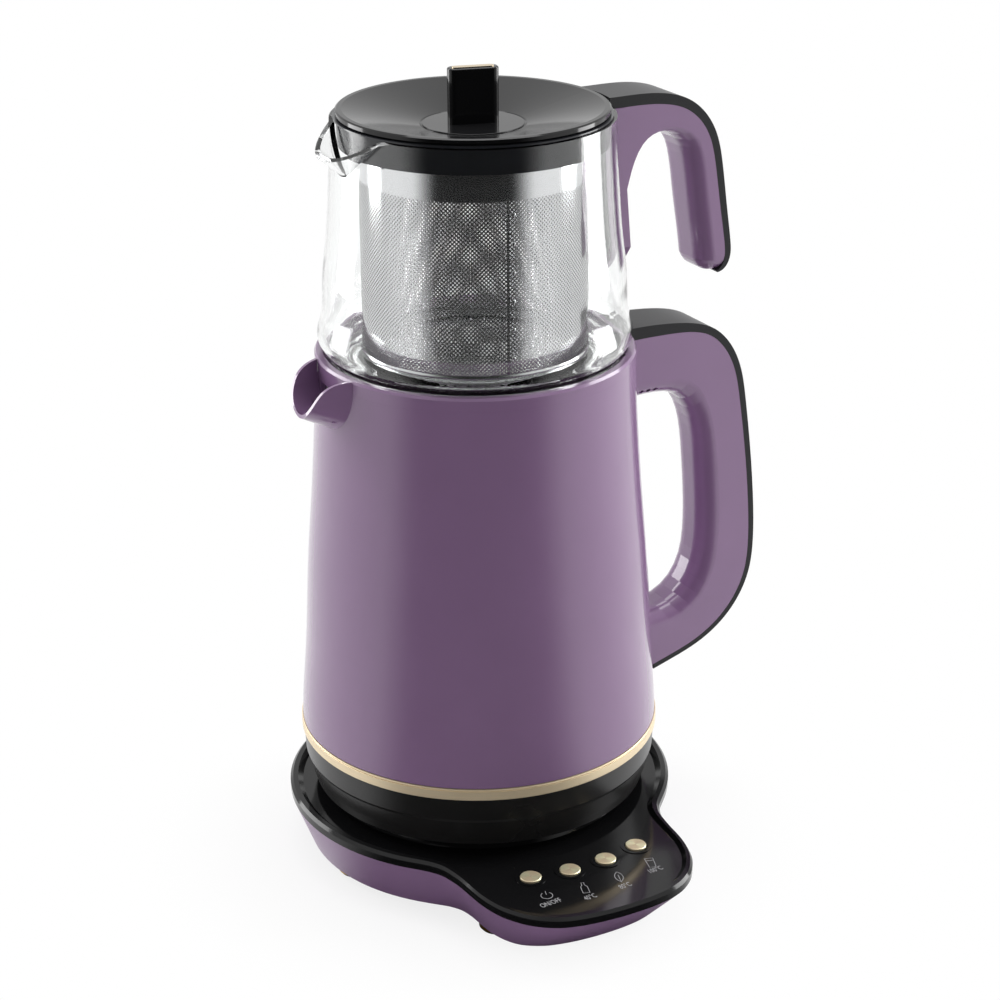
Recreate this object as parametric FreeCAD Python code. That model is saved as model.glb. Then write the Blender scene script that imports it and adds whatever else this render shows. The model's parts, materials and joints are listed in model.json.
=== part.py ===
import FreeCAD, Part
import math
import os

os.makedirs("parts", exist_ok=True)
V = FreeCAD.Vector

# All sizes are in mm. The origin is on the table, under the kettle's axis.
# +Z is up, +X is the handle side and -Y is the side with the buttons.

# Base
pad_height = 1.2
base_floor_z = 4.0
base_shell_height = 22.0
base_rim_height = 4.5
base_wall = 2.5
lobe_skew_deg = -1.5
rim_chamfer = 1.3
panel_depth = 2.2
platform_radius = 70.0
platform_height = 4.4
foot_radius = 8.0
screw_radius = 1.45
boss_radius = 4.0
cord_radius = 3.6
cord_height = 15.0
tower_radius = 16.0
tower_height = 13.3
contact_radii = (6.0, 11.0)
contact_thickness = 0.5

# Buttons
button_radius = 4.75
button_ring_radius = 99.3
button_first_deg = -15.2
button_pitch_deg = 10.6
button_count = 4
stem_radius = 2.0

# Kettle
ring_height = 25.9
band_radius = 82.8
band_height = 5.4
shell_height = 171.2
shell_wall = 2.4
pot_wall = 0.8
pot_gap = 2.2
collar_height = 6.3
spout_wall = 1.8
heater_radius = 60.0
mouth_radius = 52.0
handle_half = 12.5
kettle_grip_round = 9.0

# Teapot
jug_height = 108.6
jug_wall = 2.3
jug_grip_round = 8.0
bond_thickness = 1.0

# Basket and lid
basket_radius = 49.5
basket_wall = 0.5
basket_lift_off = 4.2
collar_depth = 11.0
lid_radius = 58.7
disc_radius = 21.9
knob_length = 22.0
knob_width = 7.2
knob_height = 23.7
knob_turn_deg = -15.5

# Clearances: between bodies, fixed curved faces, flat joints, and the plug's running fit
body_gap = 0.3
seat_gap = 0.12
joint_gap = 0.02
running_gap = 0.06

# Heights that follow
base_joint_z = base_floor_z + base_shell_height
base_rim_z = base_joint_z + base_rim_height
base_inside_z = base_floor_z + base_wall
panel_z = base_rim_z - panel_depth
platform_z = panel_z + platform_height
deck_z = base_joint_z - 6.0
tower_top_z = platform_z + tower_height
kettle_bottom_z = platform_z + body_gap
band_bottom_z = kettle_bottom_z + ring_height + 0.1
band_top_z = band_bottom_z + band_height
shell_bottom_z = band_top_z + 0.4
shell_top_z = shell_bottom_z + shell_height
pot_floor_z = shell_bottom_z + 2.8
collar_top_z = shell_top_z + collar_height
jug_bottom_z = shell_top_z + 0.4
jug_top_z = jug_bottom_z + jug_height
basket_bottom_z = jug_bottom_z + basket_lift_off
basket_collar_z = jug_top_z - collar_depth
collar_rest_z = jug_top_z + body_gap
lid_z = collar_rest_z + 0.7 + body_gap

# Outline of the base: radius against the angle from the panel's middle
TOP_OUTLINE = [(0, 139.0), (6, 139.0), (10, 138.6), (13, 137.4), (16, 134.8), (18, 132.4),
               (20, 129.2), (22, 125.6), (24, 121.0), (26, 115.8), (28, 110.0), (30, 104.2),
               (33, 97.6), (36, 93.2), (39, 90.8), (42, 89.8), (46, 89.5)]
BOTTOM_OUTLINE = [(0, 117.4), (6, 117.4), (10, 117.2), (13, 116.6), (16, 115.0), (18, 113.4),
                  (20, 110.6), (22, 107.0), (24, 102.4), (26, 97.0), (28, 91.6), (30, 87.4),
                  (33, 83.6), (36, 82.0), (39, 81.4), (42, 81.0), (46, 81.0)]

# Kettle tables are drawn for a shell 171.2 high and measured from its lower edge
DRAWN_SHELL = 171.2
SHELL_DRAWN = [(82.3, 0.0), (81.3, 16.2), (79.6, 36.2), (78.4, 56.2), (77.3, 76.2), (75.7, 96.2),
               (74.1, 115.2), (72.7, 134.7), (71.4, 157.2), (71.0, 171.2)]
# Handle: joint line between body and cover, cover thickness, inner line of the grip
KETTLE_JOINT_DRAWN = [(62.0, 169.8), (80.3, 170.2), (93.7, 170.0), (104.6, 169.2), (115.6, 165.9),
                      (124.2, 158.1), (130.2, 146.3), (133.6, 130.8), (137.5, 104.8), (140.3, 78.6),
                      (141.2, 57.5), (139.5, 42.0), (130.8, 25.3), (115.1, 12.9), (100.0, 7.0),
                      (76.0, -0.8)]
KETTLE_COVER = [5.6, 5.6, 5.0, 4.2, 3.6, 3.4, 3.3, 3.2, 3.0, 2.9, 2.8, 2.7, 2.6, 2.5, 2.4, 2.4]
KETTLE_GRIP_DRAWN = [(60.0, 140.0), (76.6, 140.0), (94.0, 140.0), (101.0, 137.8), (107.0, 130.8),
                     (111.5, 117.2), (113.5, 100.2), (115.0, 80.2), (115.3, 63.2), (113.3, 49.2),
                     (106.5, 37.7), (98.0, 32.6), (86.6, 31.2), (70.0, 30.0)]
KETTLE_SPINE_DRAWN = [(76.6, 142.0), (77.8, 121.2), (81.0, 90.2), (84.2, 64.2), (86.6, 30.5)]
# Spout lip seen from the side: reach and height against the top of the shell
SPOUT_SIDE = [(-60.0, 6.3), (-70.0, 6.0), (-75.5, 4.9), (-80.0, 2.2), (-83.2, -2.6), (-85.2, -8.4),
              (-85.8, -15.0)]

# Teapot tables are drawn for a jug 108.6 high and measured from its foot
DRAWN_JUG = 108.6
JUG_DRAWN = [(56.0, 0.0), (60.5, 1.2), (64.0, 3.8), (66.6, 7.0), (68.8, 10.2), (69.4, 13.6),
             (68.0, 19.6), (66.4, 37.2), (64.5, 55.1), (63.0, 72.6), (61.9, 91.6), (61.3, 108.6)]
JUG_JOINT_DRAWN = [(55.0, 106.4), (75.5, 106.2), (88.3, 105.2), (98.8, 102.2), (106.8, 96.4),
                   (112.4, 88.0), (116.1, 74.3), (119.5, 53.0), (122.1, 37.2), (122.4, 31.4),
                   (121.2, 27.2), (118.0, 24.6)]
JUG_COVER = [4.9, 4.9, 4.7, 4.3, 3.9, 3.7, 3.6, 3.4, 3.2, 3.0, 2.2, 0.9]
JUG_GRIP_DRAWN = [(64.0, 50.0), (69.6, 62.0), (71.3, 76.0), (75.0, 85.8), (82.0, 90.8), (91.0, 91.6),
                  (98.5, 87.2), (102.5, 77.6), (105.5, 58.6), (108.6, 39.6), (109.6, 32.4)]
# How the end of the hook closes: share of its length, of its thickness and of its width
HOOK_END = [(0.30, 0.97, 0.985), (0.55, 0.86, 0.94), (0.78, 0.66, 0.84), (0.93, 0.42, 0.70),
            (1.00, 0.22, 0.56)]
hook_end_length = 7.6


def save(name, shape):
    shape.exportStep("parts/" + name + ".step")


def polar(radius, angle_deg):
    # Angle counted from -Y towards +X
    a = math.radians(angle_deg)
    return radius * math.sin(a), -radius * math.cos(a)


def cylinder(x, y, z0, z1, radius):
    return Part.makeCylinder(radius, z1 - z0, V(x, y, z0))


def ring(x, y, z0, z1, inner, outer):
    return cylinder(x, y, z0, z1, outer).cut(cylinder(x, y, z0 - 1, z1 + 1, inner))


def block(x0, y0, z0, x1, y1, z1):
    return Part.makeBox(x1 - x0, y1 - y0, z1 - z0, V(x0, y0, z0))


def group(shapes):
    return Part.makeCompound(shapes)


def revolve(points):
    # Closed polygon of radius and height, turned about Z
    wire = Part.makePolygon([V(r, 0, z) for r, z in points] + [V(points[0][0], 0, points[0][1])])
    return Part.Face(wire).revolve(V(0, 0, 0), V(0, 0, 1), 360)


def curve(points):
    # Smooth edge through points of the XZ plane
    spline = Part.BSplineCurve()
    spline.interpolate([V(x, 0, z) for x, z in points])
    return spline.toShape()


def line(a, b):
    return Part.makeLine(V(a[0], 0, a[1]), V(b[0], 0, b[1]))


def chain(points):
    return [line(a, b) for a, b in zip(points, points[1:])]


def plate(edges, half):
    # Face in the XZ plane, made as thick as the handle is wide
    face = Part.Face(Part.Wire(edges))
    face.translate(V(0, -half, 0))
    return face.extrude(V(0, 2 * half, 0))


def smooth_revolve(profile, inner_shift):
    # Solid of revolution under a smooth profile, moved inward by inner_shift
    points = [(r - inner_shift, z) for r, z in profile]
    edges = [curve(points)] + chain([points[-1], (0, points[-1][1]), (0, points[0][1]), points[0]])
    return Part.Face(Part.Wire(edges)).revolve(V(0, 0, 0), V(0, 0, 1), 360)


def shift(points, distances):
    # Points moved to the left of their direction of travel
    result = []
    for i, (x, z) in enumerate(points):
        before = points[max(i - 1, 0)]
        after = points[min(i + 1, len(points) - 1)]
        dx = after[0] - before[0]
        dz = after[1] - before[1]
        size = math.hypot(dx, dz)
        result.append((x - dz / size * distances[i], z + dx / size * distances[i]))
    return result


def placed(points, drawn, real, lower_z):
    # Points of a table, stretched to the real height and set on its lower edge
    return [(x, lower_z + z * real / drawn) for x, z in points]


def radius_at(profile, z):
    # Radius of a profile at a height
    for (r0, z0), (r1, z1) in zip(profile, profile[1:]):
        if z <= z1:
            return r0 + (r1 - r0) * (z - z0) / (z1 - z0)
    return profile[-1][0]


def table_radius(table, angle):
    # Radius of the base outline at an angle from the panel's middle
    a = abs((angle - lobe_skew_deg + 180) % 360 - 180)
    for (a0, r0), (a1, r1) in zip(table, table[1:]):
        if a <= a1:
            return r0 + (r1 - r0) * (a - a0) / (a1 - a0)
    return table[-1][1]


def outline(table, inset, z):
    # Closed smooth wire through the base outline
    points = []
    angle = -180.0
    while angle < 179.9:
        x, y = polar(table_radius(table, angle) - inset, angle)
        points.append(V(x, y, z))
        angle = angle + (2.0 if abs(angle) < 50 else 10.0)
    spline = Part.BSplineCurve()
    spline.interpolate(points, True)
    return Part.Wire([spline.toShape()])


def loft(lower, upper):
    return Part.makeLoft([lower, upper], True, True)


def straight(table, inset, z0, z1):
    return Part.Face(outline(table, inset, z0)).extrude(V(0, 0, z1 - z0))


def grip_section(inner, outer, half, radius):
    # Closed section of a grip: flat towards the cover, rounded towards the fingers
    depth = math.hypot(outer[0] - inner[0], outer[1] - inner[1])
    dx = (outer[0] - inner[0]) / depth
    dz = (outer[1] - inner[1]) / depth
    r = min(radius, 0.7 * depth, 0.9 * half)
    lean = r * (1 - math.sqrt(0.5))
    rim = r * math.sqrt(0.5)

    def at(along, y):
        return V(inner[0] + dx * along, y, inner[1] + dz * along)

    corners = [at(depth, -half), at(depth, half), at(r, half)]
    edges = [Part.makeLine(a, b) for a, b in zip(corners, corners[1:])]
    edges.append(Part.Arc(at(r, half), at(lean, half - r + rim), at(0, half - r)).toShape())
    edges.append(Part.makeLine(at(0, half - r), at(0, r - half)))
    edges.append(Part.Arc(at(0, r - half), at(lean, r - half - rim), at(r, -half)).toShape())
    edges.append(Part.makeLine(at(r, -half), at(depth, -half)))
    return Part.Wire(edges)


def grip(inner_points, outer_points, half, radius, count, ending):
    # Grip between two lines, with an end that closes by the steps of a table
    inner = [(p.x, p.z) for p in curve(inner_points).discretize(count)]
    outer = [(p.x, p.z) for p in curve(outer_points).discretize(count)]
    wires = [grip_section(a, b, half, radius) for a, b in zip(inner, outer)]
    a = inner[-1]
    b = outer[-1]
    middle = ((a[0] + b[0]) / 2, (a[1] + b[1]) / 2)
    for along, thickness, width in ending:
        drop = along * hook_end_length
        low = (middle[0] + (a[0] - middle[0]) * thickness, middle[1] + (a[1] - middle[1]) * thickness - drop)
        high = (middle[0] + (b[0] - middle[0]) * thickness, middle[1] + (b[1] - middle[1]) * thickness - drop)
        wires.append(grip_section(low, high, half * width, radius))
    return Part.makeLoft(wires, True, True)


def rounded(shape, radius, test):
    # Fillet on the edges whose middle passes the test
    edges = [e for e in shape.Edges if test(e.CenterOfMass)]
    return shape.makeFillet(radius, edges)


button_places = [polar(button_ring_radius, button_first_deg + button_pitch_deg * i)
                 for i in range(button_count)]
foot_places = [polar(91.0, 22.0 + lobe_skew_deg), polar(91.0, lobe_skew_deg - 22.0),
               polar(71.0, 82.0), polar(71.0, -82.0), polar(71.0, 140.0), polar(71.0, -140.0)]
screw_places = [polar(platform_radius - 10, 0.0), polar(platform_radius - 8, 120.0),
                polar(platform_radius - 8, -120.0)]

# Base: lower shell with sloping wall and floor
shell_outer = loft(outline(BOTTOM_OUTLINE, 0.0, base_floor_z), outline(TOP_OUTLINE, 0.0, base_joint_z))
shell_inner = loft(outline(BOTTOM_OUTLINE, base_wall, base_inside_z),
                   outline(TOP_OUTLINE, base_wall, base_joint_z + 0.01))
lower_shell = shell_outer.cut(shell_inner)
screw_hole = screw_radius + 0.25
screw_head = 2 * screw_radius - 0.1
head_z = base_floor_z + 1.6
head_top_z = head_z + 2.3
for x, y in screw_places:
    lower_shell = lower_shell.fuse(cylinder(x, y, base_floor_z, deck_z, boss_radius))
    lower_shell = lower_shell.cut(cylinder(x, y, base_floor_z - 1, deck_z + 1, screw_hole))
    lower_shell = lower_shell.cut(cylinder(x, y, base_floor_z - 1, head_top_z + 0.1, screw_head + 0.2))
back_y = TOP_OUTLINE[-1][1]
gland_radius = cord_radius + 2.4
lower_shell = lower_shell.cut(Part.makeCylinder(gland_radius + 0.2, 30.0, V(0, back_y - 20.5, cord_height),
                                                V(0, 1, 0)))
foot_recess = 0.8
for x, y in foot_places:
    lower_shell = lower_shell.cut(cylinder(x, y, base_floor_z - 1, base_floor_z + foot_recess, foot_radius + 0.1))
save("base_lower_shell", lower_shell.removeSplitter())

# Base: gloss top cover with rim, sunk panel and raised platform
cover = straight(TOP_OUTLINE, 0.0, base_joint_z + joint_gap, base_rim_z - rim_chamfer)
cover = cover.fuse(loft(outline(TOP_OUTLINE, 0.0, base_rim_z - rim_chamfer),
                        outline(TOP_OUTLINE, rim_chamfer, base_rim_z)))
cover = cover.cut(loft(outline(TOP_OUTLINE, 6.0, panel_z), outline(TOP_OUTLINE, 3.6, base_rim_z + 0.01)))
cover = cover.cut(straight(TOP_OUTLINE, base_wall + 0.2, base_joint_z - 1, base_joint_z + 0.3))
cover = cover.fuse(revolve([(0, base_joint_z + 1), (platform_radius + 2, base_joint_z + 1),
                            (platform_radius, platform_z), (0, platform_z)]))
cover = cover.cut(cylinder(0, 0, base_joint_z, platform_z - 2.2, platform_radius - 3))
cover = cover.cut(cylinder(0, 0, deck_z, platform_z + 5, tower_radius + 1.2))
bezel_bore = button_radius + 0.35
bezel_radius = button_radius + 1.3
for x, y in button_places:
    cover = cover.cut(cylinder(x, y, deck_z, platform_z + 5, bezel_radius + 0.15))
for x, y in screw_places:
    cover = cover.fuse(ring(x, y, deck_z + 0.1, platform_z - 2.0, screw_radius + 0.05, boss_radius - 0.1))
save("base_top_cover", cover.removeSplitter())

# Base: feet, pads, screws and cord gland
feet = [cylinder(x, y, pad_height, base_floor_z + foot_recess - 0.1, foot_radius) for x, y in foot_places]
pads = [cylinder(x, y, 0.0, pad_height, foot_radius - 1) for x, y in foot_places]
save("base_feet", group(feet))
save("foot_pads", group(pads))
screws = []
for x, y in screw_places:
    head = cylinder(x, y, head_z, head_top_z, screw_head)
    screws.append(head.fuse(cylinder(x, y, head_top_z, deck_z + 4, screw_radius)))
save("base_screws", group(screws))
gland = Part.makeCylinder(gland_radius, 13.5, V(0, back_y - 12.5, cord_height), V(0, 1, 0))
gland = gland.fuse(Part.makeCylinder(gland_radius + 2, 2.0, V(0, back_y - 13.5, cord_height), V(0, 1, 0)))
gland = gland.cut(Part.makeCylinder(cord_radius, 40.0, V(0, back_y - 20.5, cord_height), V(0, 1, 0)))
save("cord_gland", gland)

# Base: connector tower with ring contacts, on a deck with three legs
groove_width = 2.0
groove_z = tower_top_z - 12.0
contact_top_z = tower_top_z - 2.0
centre_bore = 3.0
tower = ring(0, 0, deck_z, tower_top_z, centre_bore, tower_radius)
tower = tower.fuse(ring(0, 0, deck_z, deck_z + 7, centre_bore, tower_radius + 5).cut(
    cylinder(0, 0, platform_z - 5.7, platform_z, tower_radius + 6).cut(
        cylinder(0, 0, platform_z - 6, platform_z + 1, tower_radius))))
contacts = [cylinder(0, 0, deck_z, tower_top_z - 1, centre_bore - 0.1)]
for r in contact_radii:
    tower = tower.cut(ring(0, 0, groove_z, tower_top_z + 1, r, r + groove_width))
    contacts.append(ring(0, 0, groove_z, contact_top_z, r, r + contact_thickness))
save("base_socket", tower)
save("socket_contacts", group(contacts))
socket_deck = ring(0, 0, deck_z - 3, deck_z, 10.0, tower_radius + 10)
for angle in (90.0, 180.0, 270.0):
    x, y = polar(tower_radius + 7, angle)
    socket_deck = socket_deck.fuse(cylinder(x, y, base_inside_z, deck_z - 2, 2.6))
save("socket_bracket", socket_deck)

# Base: button board on two posts, with a switch under each button
board_z = panel_z - 10.3
board_top_z = board_z + 1.6
board_discs = [cylinder(x, y, board_z, board_top_z, 8.6) for x, y in button_places]
for (x0, y0), (x1, y1) in zip(button_places, button_places[1:]):
    board_discs.append(cylinder((x0 + x1) / 2, (y0 + y1) / 2, board_z, board_top_z, 8.0))
for x, y in (button_places[0], button_places[-1]):
    board_discs.append(cylinder(x, y, base_inside_z, board_z + 1, 2.2))
save("control_board", board_discs[0].fuse(board_discs[1:]).removeSplitter())
switch_top_z = board_top_z + 2.6
switches = [block(x - 3, y - 3, board_top_z, x + 3, y + 3, switch_top_z).fuse(
    cylinder(x, y, switch_top_z, switch_top_z + 1, 1.7)) for x, y in button_places]
save("tactile_switches", group(switches))

# Base: power board, relay, terminal block and wires
power_z = base_inside_z + 2.5
power_top_z = power_z + 1.6
power_board = block(-34.0, 34.0, power_z, 34.0, 64.0, power_top_z)
for x in (-30.0, 30.0):
    for y in (38.0, 60.0):
        power_board = power_board.fuse(cylinder(x, y, base_inside_z, power_z + 0.5, 2.0))
save("power_board", power_board)
save("power_relay", block(-28.0, 42.0, power_top_z, -8.0, 56.0, power_top_z + 13.4))
save("terminal_block", block(4.0, 50.0, power_top_z, 28.0, 60.0, power_top_z + 11.4))
wires = []
wire_z = power_top_z + 0.3
for x in (6.0, 12.0, 18.0):
    run = block(x, tower_radius + 6, wire_z, x + 2.0, 49.9, wire_z + 2)
    wires.append(run.fuse(block(x, tower_radius + 6, wire_z, x + 2.0, tower_radius + 8, deck_z - 3.1)))
save("base_wires", group(wires))

# Buttons: bezel rings, caps and stems
bezels = [ring(x, y, panel_z - 1.9, panel_z + 0.25, bezel_bore, bezel_radius).fuse(
    ring(x, y, panel_z + joint_gap, panel_z + 0.3, bezel_bore, bezel_radius + 0.85)) for x, y in button_places]
save("button_bezels", group(bezels))
button_names = ["button_power", "button_40", "button_80", "button_100"]
cap_z = panel_z - 2.2
cap_top_z = panel_z + 1.0
for name, (x, y) in zip(button_names, button_places):
    cap = cylinder(x, y, cap_z, cap_top_z, button_radius)
    save(name + "_cap", rounded(cap, 0.5, lambda c: c.z > cap_top_z - 0.1))
    save(name + "_stem", cylinder(x, y, switch_top_z + 2.7, cap_z, stem_radius))

# Kettle plug: round connector half that the kettle turns on
plug_radius = tower_radius + 7
plug_flange = plug_radius + 3
plug_cap_z = tower_top_z + 0.5
plug_top_z = plug_cap_z + 2.5
plug = ring(0, 0, kettle_bottom_z + 1.2, plug_cap_z + 0.5, tower_radius + body_gap, plug_radius)
plug = plug.fuse(ring(0, 0, plug_cap_z, plug_top_z, 1.0, plug_radius))
plug = plug.fuse(ring(0, 0, plug_cap_z + 0.5, plug_top_z, 5.0, plug_flange))
save("plug_body", plug)
pins = [ring(0, 0, groove_z + 1.5, plug_cap_z, r + 0.9, r + 1.5) for r in contact_radii]
save("plug_rings", group(pins))

# Kettle: black base ring, gold band and bottom cover
ring_z = kettle_bottom_z + 1.0
ring_top_z = band_bottom_z - 0.1
ring_r = band_radius - 0.8
base_ring = revolve([(ring_r - 8, ring_z), (ring_r - 4.8, ring_z), (ring_r - 3.4, ring_z + 4.5),
                     (ring_r - 1.4, ring_z + 12.8), (ring_r - 0.6, ring_z + 14.4), (ring_r, ring_top_z),
                     (ring_r - 5, ring_top_z), (ring_r - 6, ring_z + 16), (ring_r - 8, ring_z + 4.5)])
save("kettle_base_ring", base_ring)
band_in = band_radius - 4.8
band = revolve([(band_in, band_bottom_z), (band_radius - 0.4, band_bottom_z), (band_radius, band_bottom_z + 0.5),
                (band_radius, band_top_z - 1.1), (band_radius - 0.4, band_top_z - 0.9),
                (band_radius - 0.4, band_top_z - 0.6), (band_radius, band_top_z - 0.4),
                (band_radius - 0.2, band_top_z), (band_in, band_top_z)])
save("gold_band", band)
cover_r = ring_r - 8.1
plug_bore = plug_radius + running_gap
bottom_cover = revolve([(plug_bore, kettle_bottom_z), (cover_r - 7.9, kettle_bottom_z), (cover_r, ring_z + 0.6),
                        (cover_r, kettle_bottom_z + 4), (plug_flange, kettle_bottom_z + 4),
                        (plug_flange, plug_cap_z + 0.4), (plug_bore, plug_cap_z + 0.4)])
save("kettle_bottom_cover", bottom_cover)
carrier_top_z = plug_top_z + 2.5
carrier = ring(0, 0, plug_top_z + 0.1, carrier_top_z, 8.0, plug_flange + 4)
carrier = carrier.fuse(ring(0, 0, kettle_bottom_z + 4.1, carrier_top_z, plug_flange + 0.2, plug_flange + 4))
save("plug_carrier", carrier)

# Kettle: outer shell with spout
shell_profile = placed(SHELL_DRAWN, DRAWN_SHELL, shell_height, shell_bottom_z)
shell_top_r = shell_profile[-1][0]
shell_foot_r = shell_profile[0][0]
inner_solid = smooth_revolve(shell_profile, shell_wall)
kettle_shell = smooth_revolve(shell_profile, 0.0).cut(inner_solid)
kettle_shell = kettle_shell.fuse(revolve([(70.0, band_top_z + 0.3), (shell_foot_r - 1.3, band_top_z + 0.3),
                                          (shell_foot_r - 1.3, pot_floor_z - 0.1), (70.0, pot_floor_z - 0.1)]))


def trough(x, half, low, top, inset):
    # Cross-section of the spout across the pouring direction
    h = half - inset
    b = low + inset
    points = [V(x, -h, top), V(x, -h * 0.96, b + h * 0.9), V(x, -h * 0.62, b + h * 0.28), V(x, 0, b),
              V(x, h * 0.62, b + h * 0.28), V(x, h * 0.96, b + h * 0.9), V(x, h, top)]
    spline = Part.BSplineCurve()
    spline.interpolate(points)
    return Part.Wire([spline.toShape(), Part.makeLine(points[-1], points[0])])


def spout_form(inset, top, reach):
    # Trough that narrows and rises from the shell to the tip
    return Part.makeLoft([trough(-60.0, 21.0, shell_top_z - 26.0, top, inset),
                          trough(-reach, 11.5, shell_top_z - 12.0, top, inset)], True, True)


spout_line = [(x, shell_top_z + z) for x, z in SPOUT_SIDE]
spout_side = plate([curve(spout_line)] + chain([spout_line[-1], (-60.0, shell_top_z - 31), spout_line[0]]), 30.0)
spout_body = spout_form(0.0, shell_top_z + 8.6, 87.0).common(spout_side).cut(inner_solid)
spout_body = spout_body.cut(cylinder(0, 0, shell_top_z, shell_top_z + 24, shell_top_r + seat_gap))
spout_inner = spout_form(spout_wall, shell_top_z + 10, 87.2)
spout_inner = spout_inner.cut(cylinder(0, 0, shell_top_z - 36, shell_top_z + 14, shell_top_r - 0.1))
window_low_z = shell_top_z - 14
window_high_z = shell_top_z - 2
kettle_shell = kettle_shell.fuse(spout_body).cut(spout_inner)
kettle_shell = kettle_shell.cut(block(-75.0, -11.0, window_low_z, -60.0, 11.0, window_high_z))
save("kettle_shell", kettle_shell.removeSplitter())

# Kettle: top collar with the jug's seat
collar_z = shell_top_z + joint_gap
collar = revolve([(shell_top_r - 6, collar_z), (shell_top_r, collar_z), (shell_top_r, collar_top_z - 1.1),
                  (shell_top_r - 0.8, collar_top_z), (shell_top_r - 3.6, collar_top_z),
                  (shell_top_r - 4.8, collar_top_z - 0.6), (shell_top_r - 6.4, shell_top_z + 4),
                  (shell_top_r - 8.4, shell_top_z + 2), (shell_top_r - 8.4, collar_z)])
save("kettle_collar", collar)

# Kettle: steel pot that follows the shell, and its spout seal
neck_z = shell_top_z - 7
neck_r = shell_top_r - 5.6
pot_heights = [shell_bottom_z + step * (neck_z - shell_bottom_z) for step in (0.05, 0.22, 0.45, 0.68, 0.86)]
pot_outer = [(radius_at(shell_profile, z) - shell_wall - pot_gap, z) for z in pot_heights] + [(neck_r, neck_z)]
pot_outer[0] = (pot_outer[0][0], pot_floor_z + 3.4)
pot_inner = [(r - pot_wall, z + (pot_wall if i == 0 else 0)) for i, (r, z) in enumerate(pot_outer)]
floor_r = pot_outer[0][0] - 3.4
lip_z = shell_top_z - 0.1
pot = revolve([(0, pot_floor_z), (floor_r, pot_floor_z)] + pot_outer
              + [(neck_r, lip_z - 1), (neck_r + 1, lip_z - 1), (neck_r + 1, lip_z), (neck_r - pot_wall, lip_z)]
              + pot_inner[::-1] + [(floor_r - 0.4, pot_floor_z + pot_wall), (0, pot_floor_z + pot_wall)])
pot = pot.cut(block(-75.0, -9.0, window_low_z + 1.5, -60.0, 9.0, window_high_z - 1.5))
save("inner_pot", pot)
rim_outer = neck_r - pot_wall - seat_gap
save("pot_rim", ring(0, 0, shell_top_z - 1.5, shell_top_z - 0.7, mouth_radius, rim_outer))
seal = block(-75.0, -10.8, window_low_z + 0.2, -60.0, 10.8, window_high_z - 0.2)
seal = seal.cut(block(-80.0, -9.2, window_low_z + 1.8, -50.0, 9.2, window_high_z - 1.8))
seal = seal.cut(revolve([(0, pot_outer[-2][1]), (pot_outer[-2][0] + 0.15, pot_outer[-2][1]),
                         (neck_r + 0.15, neck_z), (neck_r + 0.15, shell_top_z + 4), (0, shell_top_z + 4)]))
save("spout_seal", seal.common(smooth_revolve(shell_profile, shell_wall + 0.15)))

# Kettle: heater plate, element, sensor, dry-boil switches, seal and wires
heater_z = pot_floor_z - 4.6
parts_z = carrier_top_z + 0.1
save("heater_plate", cylinder(0, 0, heater_z, pot_floor_z - 0.05, heater_radius))
element = Part.makeTorus(heater_radius - 16, 3.4, V(0, 0, heater_z - 3.45))
save("heating_element", element.cut(block(-4.5, 0.0, heater_z - 10, 4.5, heater_radius, heater_z)))
sensor = cylinder(0, 0, parts_z + 1.4, heater_z - 0.05, 8.0).fuse(cylinder(0, 0, parts_z, parts_z + 1.6, 11.0))
save("temperature_sensor", sensor)
guard = block(-24.0, -11.5, parts_z, 24.0, 11.5, parts_z + 2.4)
for x in (-24.0, 24.0):
    guard = guard.fuse(cylinder(x, 0, parts_z + 2.4, heater_z - 0.05, 7.5))
save("dry_boil_switches", guard.cut(cylinder(0, 0, parts_z - 1, heater_z, 11.3)).removeSplitter())
seal_r = band_in - 0.4
save("band_seal", ring(0, 0, band_bottom_z + 0.6, band_top_z + 0.1, seal_r - 2, seal_r))
kettle_wires = [block(8.0, y - 1.1, parts_z, 60.0, y + 1.1, parts_z + 2.2) for y in (-17.0, 17.0)]
save("kettle_wires", group(kettle_wires))

# Kettle: handle body and handle cover
joint_line = placed(KETTLE_JOINT_DRAWN, DRAWN_SHELL, shell_height, shell_bottom_z)
grip_line = placed(KETTLE_GRIP_DRAWN, DRAWN_SHELL, shell_height, shell_bottom_z)
spine_line = placed(KETTLE_SPINE_DRAWN, DRAWN_SHELL, shell_height, shell_bottom_z)
kettle_tool = smooth_revolve(shell_profile, -seat_gap)
kettle_tool = kettle_tool.fuse(cylinder(0, 0, shell_top_z - 6, shell_top_z + 24, shell_top_r + seat_gap))
kettle_tool = kettle_tool.fuse(cylinder(0, 0, 0, shell_bottom_z, band_radius + 0.4))
body_edge = shift(joint_line, [-0.08] * len(joint_line))
inside = plate([curve(body_edge)] + chain([body_edge[-1], (50.0, body_edge[-1][1]), (50.0, body_edge[0][1]),
                                           body_edge[0]]), 2 * handle_half)
proud_edge = shift(joint_line, [1.5] * len(joint_line))
kettle_handle = grip(grip_line, proud_edge, handle_half, kettle_grip_round, 33, []).common(inside)
spine = plate([curve(spine_line)] + chain([spine_line[-1], (60.0, spine_line[-1][1]), (60.0, spine_line[0][1]),
                                           spine_line[0]]), handle_half - 1.5)
tail = plate(chain([(70.0, shell_bottom_z + 5.2), (88.2, shell_bottom_z + 7.2), (88.6, shell_bottom_z - 8.8),
                    (84.0, shell_bottom_z - 16.8), (70.0, shell_bottom_z - 14.8), (70.0, shell_bottom_z + 5.2)]),
             handle_half - 4.0)
kettle_handle = kettle_handle.fuse([spine, tail]).cut(kettle_tool)
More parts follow.
